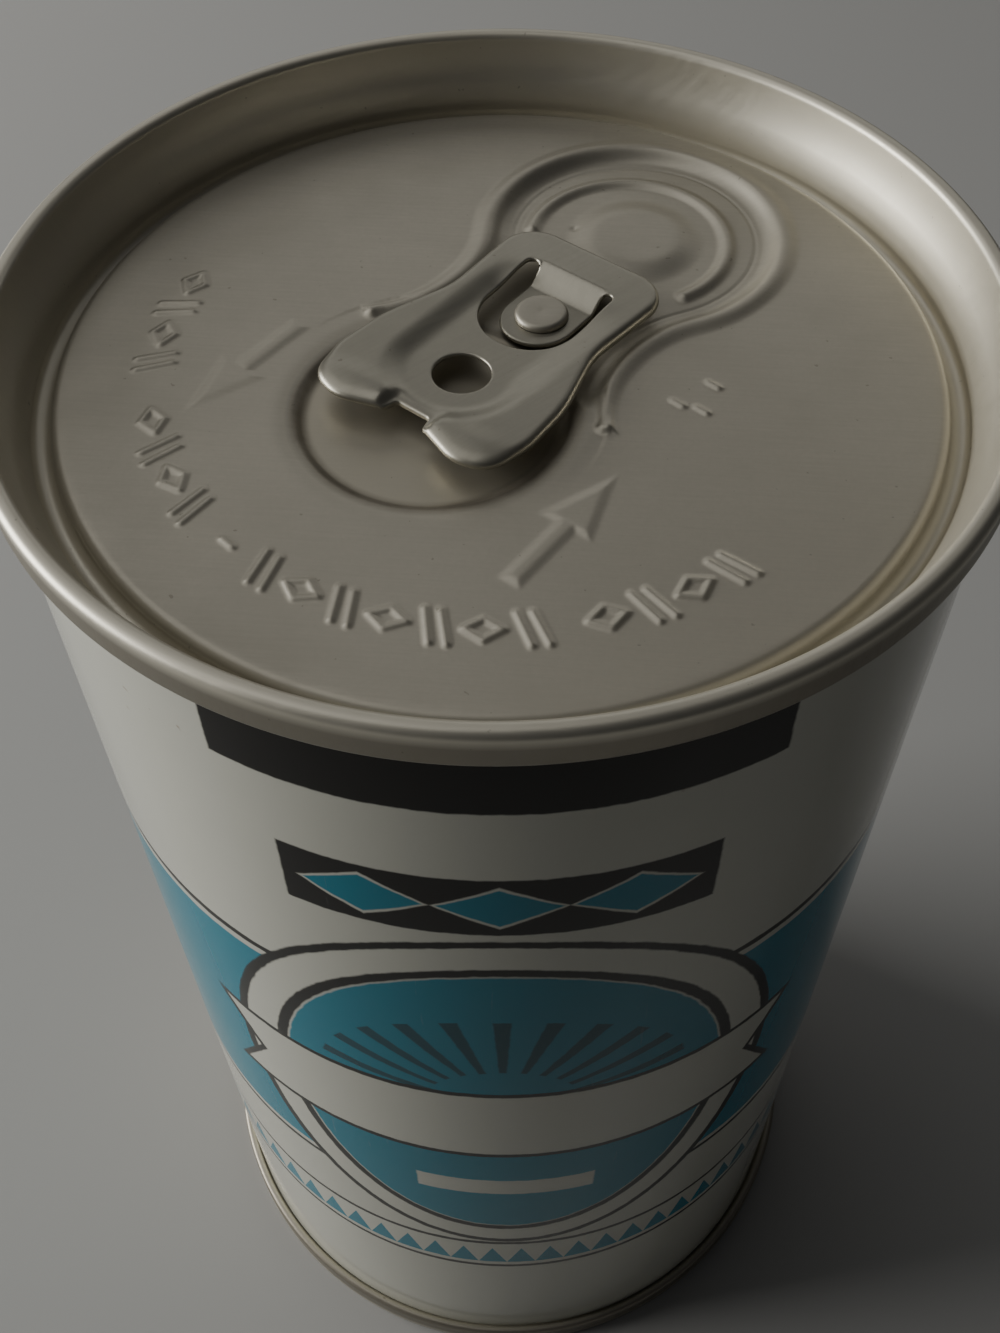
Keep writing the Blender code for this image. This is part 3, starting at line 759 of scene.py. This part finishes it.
pull_rings([(BODY_RADIUS, tube_high), (BODY_RADIUS - WALL, tube_high),
            (BODY_RADIUS - WALL, tube_low), (BODY_RADIUS, tube_low)])
bpy.ops.mesh.select_all(action="SELECT")
bpy.ops.mesh.remove_doubles(threshold=0.01 * MM)
close_and_smooth(tube)
bpy.ops.object.shade_smooth_by_angle(angle=math.radians(50.0))

# %% [markdown]
# ## The bottom end
# The lower end is plain: two shallow steps let it bulge when the can is pasteurised.
# It starts as a small disc, and its edge is pulled outwards over the steps and round
# the same rim as the lid, upside down.

# %% Panel, steps and rim of the bottom end
STEPS = (14.5 * MM, 22.5 * MM)
STEP_RISE, STEP_SLOPE = 0.4 * MM, 1.4


def bottom_height(radius):
    """Depth of the bottom panel above the foot, deeper towards its middle."""
    inner = sum(float(ramp((edge - radius) / MM, STEP_SLOPE)) for edge in STEPS)
    return PANEL_DEPTH + STEP_RISE * inner


start = 2.0 * MM
radii = [start] + list(np.arange(4.0, 29.3, 0.45) * MM) + [PANEL_FLAT]
panel_rings = [(radius, bottom_height(radius)) for radius in radii]
bpy.ops.mesh.primitive_circle_add(vertices=TUBE_SIDES, radius=start, fill_type="TRIFAN",
                                  location=(0.0, 0.0, bottom_height(0.0)))
base = named("bottom_sheet")
bpy.ops.object.transform_apply(location=True, rotation=True, scale=True)
at = points_of(base)
select_edges(base, np.hypot(at[:, 0], at[:, 1]) > start / 2)
pull_rings(panel_rings + [(radius, depth) for radius, depth in RIM[1:]])
bpy.ops.mesh.edge_face_add()
close_and_smooth(base)

# %% [markdown]
# ## Finishes
# Four finishes show. The lid and the bottom are tinplate under an old thin lacquer:
# satin, with the fine straight grain of the rolling mill, a little tarnish in the finger
# well, and dull specks. The tab is the same metal, with its grain along its own length
# and less haze, because fingers keep it clean. The body is printed on an off-white base
# coat and varnished, so it is glossy. Patterns read Object coordinates or the tube's
# own map, so that they stay on the piece.


# %% Node helpers
class Recipe:
    """Builds one material's nodes; numbers and sockets mix freely as inputs."""

    def __init__(self, name, colour, roughness, metallic):
        self.material = bpy.data.materials.new(name)
        self.material.use_nodes = True
        self.tree = self.material.node_tree
        self.shader = self.tree.nodes["Principled BSDF"]
        self.shader.inputs["Base Color"].default_value = (*colour, 1.0)
        self.shader.inputs["Roughness"].default_value = roughness
        self.shader.inputs["Metallic"].default_value = metallic

    def put(self, socket, value):
        if isinstance(value, bpy.types.NodeSocket):
            self.tree.links.new(value, socket)
        elif isinstance(value, (tuple, list)) and len(value) == 3 and socket.type == "RGBA":
            socket.default_value = (*value, 1.0)
        else:
            socket.default_value = value

    def node(self, kind, **settings):
        made = self.tree.nodes.new(kind)
        for key, value in settings.items():
            setattr(made, key, value)
        return made

    def math(self, operation, a, b=0.0, c=0.0):
        made = self.node("ShaderNodeMath", operation=operation)
        for socket, value in zip(made.inputs, (a, b, c)):
            self.put(socket, value)
        return made.outputs[0]

    def coordinates(self):
        return self.node("ShaderNodeTexCoord").outputs["Object"]

    def stretched(self, vector, scale):
        made = self.node("ShaderNodeMapping")
        self.put(made.inputs["Vector"], vector)
        made.inputs["Scale"].default_value = scale
        return made.outputs[0]

    def noise(self, vector, scale, detail=3.0, roughness=0.55):
        made = self.node("ShaderNodeTexNoise")
        self.put(made.inputs["Vector"], vector)
        made.inputs["Scale"].default_value = scale
        made.inputs["Detail"].default_value = detail
        made.inputs["Roughness"].default_value = roughness
        return made.outputs["Fac"]

    def plus(self, a, b):
        return self.math("ADD", a, b)

    def less(self, a, b):
        return self.math("SUBTRACT", a, b)

    def times(self, a, b):
        return self.math("MULTIPLY", a, b)

    def absolute(self, a):
        return self.math("ABSOLUTE", a)

    def hypot(self, x, y):
        return self.math("SQRT", self.plus(self.times(x, x), self.times(y, y)))

    def apart(self, vector):
        made = self.node("ShaderNodeSeparateXYZ")
        self.put(made.inputs[0], vector)
        return made.outputs

    def between(self, value, low, high, to_low=0.0, to_high=1.0):
        made = self.node("ShaderNodeMapRange")
        for socket, number in zip(made.inputs, (value, low, high, to_low, to_high)):
            self.put(socket, number)
        return made.outputs[0]

    def mix(self, amount, first, second):
        made = self.node("ShaderNodeMix", data_type="RGBA")
        self.put(made.inputs["Factor"], amount)
        self.put(made.inputs[6], first)
        self.put(made.inputs[7], second)
        return made.outputs[2]

    def bump(self, height, strength, distance):
        made = self.node("ShaderNodeBump")
        self.put(made.inputs["Height"], height)
        made.inputs["Strength"].default_value = strength
        made.inputs["Distance"].default_value = distance
        self.put(self.shader.inputs["Normal"], made.outputs[0])


# %% [markdown]
# ### Tinplate
# A bare mirror of metal would look black wherever the room is dark. Old lacquer spreads
# some of the light, so the metal here is a little less than fully metallic: its haze.
# The mill's grain is long thin noise: the same noise, squeezed hard across one
# direction. It changes the roughness a little and lifts a very small bump. Slow noise
# clouds the colour, a fine one mottles it, and dark specks are the tops of another.
# Painted light makes the rims lighter. Painted shade darkens round the
# finger well's foot and the outer wall of the seams, below the crest. Each of these
# is a mask made from radius and height.

# %% Grain, clouds and mottle
GRAIN_SCALE = (180.0, 4200.0, 400.0)
CLOUD_SCALE, PATCH_SCALE, SPECK_SCALE, MOTTLE_SCALE = 90.0, 260.0, 1500.0, 3200.0
SPECK_FROM, SPECK_TO, SPECK_TONE = 0.735, 0.765, (0.12, 0.10, 0.07)


def darker(colour, share):
    """The same hue with less light."""
    return tuple(share * part for part in colour)


def mill_grain(recipe, place, turn):
    """Fine straight lines, turned this way on the sheet."""
    turned = recipe.node("ShaderNodeMapping")
    recipe.put(turned.inputs["Vector"], place)
    turned.inputs["Rotation"].default_value = (0.0, 0.0, turn)
    return recipe.noise(recipe.stretched(turned.outputs[0], GRAIN_SCALE), 1.0, 4.0, 0.7)


def clouded(recipe, place, colour, cloud, grain):
    """The metal's colour, uneven in three sizes."""
    mottle = recipe.noise(place, MOTTLE_SCALE, 2.0, 0.6)
    base = recipe.mix(recipe.between(cloud, 0.3, 0.7, 0.0, 0.7), colour, darker(colour, 0.80))
    base = recipe.mix(recipe.between(grain, 0.3, 0.7, 0.0, 0.22), base, darker(colour, 0.7))
    return recipe.mix(recipe.between(mottle, 0.35, 0.65, 0.0, 0.16), base, darker(colour, 0.75))


# %% Tarnish, painted rim light and painted shade
# colour of painted shade, used at the finger well's foot and on the seams' outer wall
PAINTED_SHADE = (0.15, 0.13, 0.10)
# lighter colour of painted light on the rim, and the radius from which it is full
PAINTED_RIM_LIGHT, PAINTED_RIM_LIGHT_FROM = (0.61, 0.58, 0.49), 30.2 * MM
SKIRT_TOP, SKIRT_FULL = CAN_HEIGHT / 2 - 0.5 * MM, CAN_HEIGHT / 2 - 1.3 * MM


def tarnish_and_foot_shade(recipe, place, base, centre, radius, stain):
    """A stained round well, with painted shade at its foot."""
    away = recipe.node("ShaderNodeVectorMath", operation="DISTANCE")
    recipe.put(away.inputs[0], recipe.stretched(place, (1.0, 1.0, 0.0)))
    away.inputs[1].default_value = centre
    away = away.outputs["Value"]
    within = recipe.between(away, radius + 0.3 * MM, radius - 0.6 * MM)
    patchy = recipe.between(recipe.noise(place, PATCH_SCALE, 5.0, 0.6), 0.25, 0.75, 0.45, 1.0)
    base = recipe.mix(recipe.times(within, patchy), base, stain)
    # painted shade: a patchy dark ring at the foot of the well's wall
    off_ring = recipe.absolute(recipe.less(away, radius + 0.1 * MM))
    foot_shade = recipe.between(off_ring, 0.85 * MM, 0.2 * MM, 0.0, 0.85)
    return recipe.mix(recipe.times(foot_shade, patchy), base, PAINTED_SHADE)


def painted_rim_light_and_shade(recipe, place, base):
    """Painted light on the rim, and painted shade on the outer wall of the seams."""
    x, y, z = recipe.apart(place)
    radius = recipe.hypot(x, y)
    from_middle = recipe.absolute(recipe.less(z, CAN_HEIGHT / 2))
    under_crest = recipe.between(from_middle, SKIRT_TOP, SKIRT_FULL)
    outside = recipe.between(radius, SEAM_RADIUS - 0.7 * MM, SEAM_RADIUS - 0.3 * MM)
    skirt = recipe.times(under_crest, outside)
    # painted light: the rim, from the panel's edge outwards, is given a lighter colour
    base = recipe.mix(recipe.between(radius, PANEL_FLAT, PAINTED_RIM_LIGHT_FROM), base, PAINTED_RIM_LIGHT)
    # painted shade: the outer wall of the seams, below the crest, is darkened with the shade
    # colour
    return recipe.mix(recipe.times(skirt, 0.7), base, PAINTED_SHADE)


# %% Tinplate for the ends and the tab
HAZE = 0.78                          # the rest of the light is scattered by the old lacquer


def tinplate(name, colour, roughness, grain_turn=0.0, well_tarnish_and_shade=None, metallic=HAZE):
    recipe = Recipe(name, colour, roughness, metallic)
    place = recipe.coordinates()
    grain = mill_grain(recipe, place, grain_turn)
    cloud = recipe.noise(place, CLOUD_SCALE, 4.0, 0.6)
    base = clouded(recipe, place, colour, cloud, grain)
    if well_tarnish_and_shade:
        base = tarnish_and_foot_shade(recipe, place, base, *well_tarnish_and_shade)
    base = painted_rim_light_and_shade(recipe, place, base)
    specks = recipe.between(recipe.noise(place, SPECK_SCALE, 2.0, 0.5), SPECK_FROM, SPECK_TO)
    base = recipe.mix(recipe.times(specks, 0.35), base, SPECK_TONE)
    recipe.put(recipe.shader.inputs["Base Color"], base)
    dull = recipe.between(cloud, 0.3, 0.7, roughness - 0.03, roughness + 0.04)
    rough = recipe.plus(recipe.between(grain, 0.2, 0.8, -0.05, 0.07), dull)
    recipe.put(recipe.shader.inputs["Roughness"], rough)
    recipe.bump(grain, 0.25, 0.00001)
    return recipe.material


well_centre = lid_point(*WELL, 0.0)
lid_metal = tinplate("lid_tinplate", (0.53, 0.50, 0.42), 0.42, math.radians(6.0),
                     (well_centre, WELL_RADIUS * MM, (0.50, 0.465, 0.375)))
tab_metal = tinplate("tab_tinplate", (0.45, 0.43, 0.36), 0.36, math.radians(-38.0), metallic=0.9)
base_metal = tinplate("bottom_tinplate", (0.47, 0.45, 0.38), 0.42)

# %% [markdown]
# ### The printed body
# The print is a generic label on an off-white base coat. Round the can runs a teal
# belt, with a row of small triangles below it. Its front and back each have a black bar
# under the rim, a dark strip with three lozenges, and an upright oval with a fan of rays
# and a plain banner. An image would do, but simple shapes stay sharp at any size. Inks
# are laid one over another, so each shape is a mask made from distances on the tube's
# own map (u along the wall, v up it, in millimetres), and each mask mixes its ink over
# what is below. A thin pale line is left between inks, where they don't quite meet.

# %% A map for the tube: millimetres along the wall from the middle of a face
FRONT = math.radians(-91.0)
MAP_UNIT = 100.0                     # map units are tenths of a metre, in millimetres


def map_tube(piece):
    """Give every corner its distance from the nearer of the two printed faces."""
    layer = piece.data.uv_layers.new(name="label")
    corners = np.empty(len(piece.data.loops), int)
    piece.data.loops.foreach_get("vertex_index", corners)
    at = points_of(piece)[corners]
    middle = np.repeat(face_centres(piece), [p.loop_total for p in piece.data.polygons], axis=0)
    turn = np.arctan2(at[:, 1], at[:, 0]) - FRONT
    face_turn = np.arctan2(middle[:, 1], middle[:, 0]) - FRONT
    turn = face_turn + (turn - face_turn + math.pi) % (2 * math.pi) - math.pi
    side = np.round(face_turn / math.pi) * math.pi
    u = (turn - side) * BODY_RADIUS / MM
    layer.data.foreach_set("uv", np.c_[u / MAP_UNIT, at[:, 2] / MM / MAP_UNIT].ravel())


map_tube(tube)

# %% Inks and lengths of the label
OFF_WHITE = (0.56, 0.56, 0.49)
TEAL = (0.001, 0.20, 0.285)
DEEP_TEAL = (0.001, 0.065, 0.09)
BLACK = (0.006, 0.005, 0.004)
SOFT_EDGE = 0.09                     # a print's edge is a little soft
BAR_HALF, BAR_LOW = 17.6, 113.0
CREST_HALF, CREST_LOW, CREST_HIGH = 14.2, 98.6, 105.6
LOZENGE_Z, LOZENGE_PITCH, LOZENGE_WIDE, LOZENGE_TALL = 102.1, 8.8, 4.0, 2.3
BELT_LOW, BELT_HIGH = 47.0, 86.0
OVAL_Z, OVAL_WIDE, OVAL_TALL = 66.0, 18.5, 26.5
BANNER_Z, BANNER_HALF, BANNER_WIDE = 65.0, 6.3, 25.0
RAY_PITCH, RAY_HALF = math.radians(15.0), math.radians(2.6)
RAY_MIDDLE, RAY_REACH = 10.5, 4.5
TEETH_LOW, TEETH_HIGH, TEETH_PITCH = 27.5, 32.0, math.pi * BODY_RADIUS / MM / 36

# %% The label's map and the edge of an ink
body = Recipe("printed_varnish", OFF_WHITE, 0.09, 0.0)
label = body.node("ShaderNodeUVMap", uv_map="label").outputs[0]
lu, lv = (body.times(part, MAP_UNIT) for part in body.apart(label)[:2])
wobble = body.noise(body.coordinates(), 700.0, 2.0)
wide = body.absolute(lu)


def inked(distance):
    """1 where the distance is below zero, with the slightly rough edge of a print."""
    rough = body.plus(distance, body.between(wobble, 0.3, 0.7, -0.05, 0.05))
    return body.between(rough, SOFT_EDGE, -SOFT_EDGE)


# %% Shapes of the label
def strip(low, high):
    """Distance outside a level strip."""
    middle, half = (low + high) / 2, (high - low) / 2
    return body.less(body.absolute(body.less(lv, middle)), half)


def both(first, second):
    return body.math("MAXIMUM", first, second)


def oval(grow):
    """Distance outside an upright oval, larger or smaller than the label's by this much."""
    x = body.math("DIVIDE", lu, OVAL_WIDE + grow)
    y = body.math("DIVIDE", body.less(lv, OVAL_Z), OVAL_TALL + grow)
    return body.times(body.less(body.hypot(x, y), 1.0), OVAL_WIDE + grow)


def lozenges(grow):
    """Distance outside a row of three lozenges."""
    near = body.less(wide, LOZENGE_PITCH)
    x = body.absolute(body.math("MINIMUM", wide, body.absolute(near)))
    y = body.absolute(body.less(lv, LOZENGE_Z))
    sum_of = body.plus(body.math("DIVIDE", x, LOZENGE_WIDE + grow),
                       body.math("DIVIDE", y, LOZENGE_TALL + grow))
    return body.times(body.less(sum_of, 1.0), LOZENGE_TALL)


# %% Banner, teeth and rays
def banner(grow):
    """Distance outside a plain ribbon with swallow-tailed ends."""
    up = body.absolute(body.less(lv, BANNER_Z))
    fork = body.times(body.less(BANNER_HALF, up), 0.55)
    ends = body.less(body.plus(wide, fork), BANNER_WIDE + grow)
    return both(ends, body.less(up, BANNER_HALF + grow))


def teeth():
    """Distance outside a row of small triangles."""
    phase = body.math("PINGPONG", lu, TEETH_PITCH / 2)
    rise = body.times(phase, 2 * (TEETH_HIGH - TEETH_LOW) / TEETH_PITCH)
    over = body.less(lv, body.plus(rise, TEETH_LOW))
    return both(over, strip(TEETH_LOW, TEETH_HIGH))


def rays():
    """Distance outside the rays that fan out above the banner."""
    foot = BANNER_Z + BANNER_HALF - 1.0
    y = body.less(lv, foot)
    angle = body.math("ARCTAN2", lu, y)
    beat = body.math("PINGPONG", angle, RAY_PITCH / 2)
    radius = body.hypot(lu, y)
    blade = body.times(body.less(beat, RAY_HALF), radius)
    off_middle = body.absolute(body.less(radius, RAY_MIDDLE))
    reach = body.less(off_middle, RAY_REACH)
    return both(both(blade, reach), body.less(0.0, y))


# %% Lay the inks
cloud = body.noise(body.coordinates(), 60.0, 4.0, 0.6)
paint = body.mix(body.between(cloud, 0.3, 0.7, 0.0, 0.5), OFF_WHITE, darker(OFF_WHITE, 0.93))
layers = [
    (strip(BELT_LOW, BELT_HIGH), TEAL),
    (strip(BELT_HIGH + 0.9, BELT_HIGH + 1.7), BLACK),
    (strip(BELT_LOW - 1.7, BELT_LOW - 0.9), BLACK),
    (oval(5.2), BLACK), (oval(4.3), OFF_WHITE), (oval(1.2), BLACK), (oval(0.18), OFF_WHITE),
    (oval(0.0), TEAL), (both(rays(), oval(-1.0)), DEEP_TEAL),
    (banner(0.7), BLACK), (banner(0.0), OFF_WHITE),
    (both(body.less(wide, 8.0), strip(48.5, 52.0)), OFF_WHITE),
    (both(body.less(wide, CREST_HALF), strip(CREST_LOW, CREST_HIGH)), BLACK),
    (lozenges(0.35), OFF_WHITE), (lozenges(0.0), TEAL),
    (both(body.less(wide, BAR_HALF), body.less(BAR_LOW, lv)), BLACK),
    (teeth(), TEAL), (strip(TEETH_LOW - 1.6, TEETH_LOW - 0.9), BLACK),
    (strip(TEETH_HIGH + 1.4, TEETH_HIGH + 2.1), BLACK),
]
for distance, ink in layers:
    paint = body.mix(inked(distance), paint, ink)

# %% Rust, scuffs and varnish
RUST, SCUFF = (0.20, 0.10, 0.04), (0.45, 0.45, 0.42)
place = body.coordinates()
rust = body.between(body.noise(place, 420.0, 3.0, 0.6), 0.72, 0.76)
near_seam = body.between(lv, 108.0, 119.0)
paint = body.mix(body.times(rust, near_seam), paint, RUST)
streaks = body.noise(body.stretched(place, (900.0, 900.0, 60.0)), 1.0, 4.0, 0.7)
scuff = body.between(streaks, 0.66, 0.74)
paint = body.mix(body.times(scuff, 0.12), paint, SCUFF)
body.put(body.shader.inputs["Base Color"], paint)
body.put(body.shader.inputs["Roughness"], body.between(cloud, 0.3, 0.7, 0.07, 0.12))
body.shader.inputs["Specular IOR Level"].default_value = 0.2
body.bump(body.noise(place, 900.0, 2.0), 0.06, 0.00002)
printed = body.material

# %% [markdown]
# ## Pieces and what they stand for
# Every piece rides on the can's one body and wears its finish, and the frame's solid
# in its place is hidden. The slot name beside each is not used.

# %% Finish and frame
for piece, finish, node, slot_name in (
        (lid, lid_metal, "top_end", "end_metal"),
        (rivet, lid_metal, "top_end", "end_metal"),
        (tab, tab_metal, "pull_tab", "tab_metal"),
        (tube, printed, "can_body", "printed_body"),
        (base, base_metal, "bottom_end", "bottom_metal")):
    piece.data.materials.clear()
    piece.data.materials.append(finish)
    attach(piece, "root")
    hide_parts(node)

# %% [markdown]
# ## Floor, light and camera
# The can stands on a plain pale grey floor. A large soft light low at the left does most
# of the work, as a window does. A dim one overhead and a dimmer one behind, where the
# lid mirrors it to the camera, give the metal something even to reflect. The camera
# stands close and looks steeply down, which is why the can tapers so strongly.

# %% Floor
FLOOR_LIGHT, FLOOR_DARK = (0.38, 0.38, 0.37), (0.36, 0.36, 0.35)
bpy.ops.mesh.primitive_plane_add(size=4.0, location=(0.0, 0.0, 0.0))
floor = named("floor")
ground = Recipe("pale_floor", (0.37, 0.37, 0.36), 0.95, 0.0)
ground.shader.inputs["Specular IOR Level"].default_value = 0.1
shade = ground.noise(ground.coordinates(), 3.0)
ground.put(ground.shader.inputs["Base Color"], ground.mix(shade, FLOOR_LIGHT, FLOOR_DARK))
floor.data.materials.append(ground.material)


# %% Lights
DAYLIGHT = (1.0, 0.985, 0.955)
MIDDLE = (0.0, 0.0, 0.1)             # every light is turned towards the can's middle


def soft_light(name, place, size, power):
    lamp = bpy.data.lights.new(name, "AREA")
    lamp.shape = "RECTANGLE"
    lamp.size, lamp.size_y = size
    lamp.energy = power
    lamp.color = DAYLIGHT
    holder = bpy.data.objects.new(name, lamp)
    bpy.context.scene.collection.objects.link(holder)
    holder.location = place
    holder.rotation_euler = (Vector(MIDDLE) - Vector(place)).to_track_quat("-Z", "Y").to_euler()


soft_light("window", (-0.81, 0.13, 0.29), (0.62, 0.5), 10.4)
soft_light("ceiling", (-0.38, 0.22, 0.88), (0.8, 0.8), 1.3)
soft_light("back_wall", (0.10, 0.80, 0.50), (1.1, 0.5), 0.8)
world = bpy.data.worlds.new("room")
world.use_nodes = True
room = world.node_tree.nodes["Background"]
room.inputs["Color"].default_value = (0.95, 0.96, 1.0, 1.0)
room.inputs["Strength"].default_value = 0.035
bpy.context.scene.world = world

# %% Camera
PICTURE_HEIGHT = 1333.0
FOCAL_PIXELS = 1477.6
SENSOR = 36.0
ELEVATION = math.radians(52.353)
ROLL = math.radians(-0.944)
DISTANCE = 118.062 * MM
TARGET = Vector((-0.305, -4.734, 90.0)) * MM

lens = bpy.data.cameras.new("camera")
lens.lens = FOCAL_PIXELS / PICTURE_HEIGHT * SENSOR
lens.sensor_width = SENSOR
lens.clip_start = 0.005
camera = bpy.data.objects.new("camera", lens)
bpy.context.scene.collection.objects.link(camera)
back = Vector((0.0, -math.cos(ELEVATION), math.sin(ELEVATION)))
right = Vector((1.0, 0.0, 0.0))
up = back.cross(right)
across = math.cos(ROLL) * right + math.sin(ROLL) * up
upward = math.cos(ROLL) * up - math.sin(ROLL) * right
stand = Matrix((across, upward, back)).transposed().to_4x4()
stand.translation = TARGET + DISTANCE * back
camera.matrix_world = stand
bpy.context.scene.camera = camera
print("camera lens", round(lens.lens, 2), "mm")
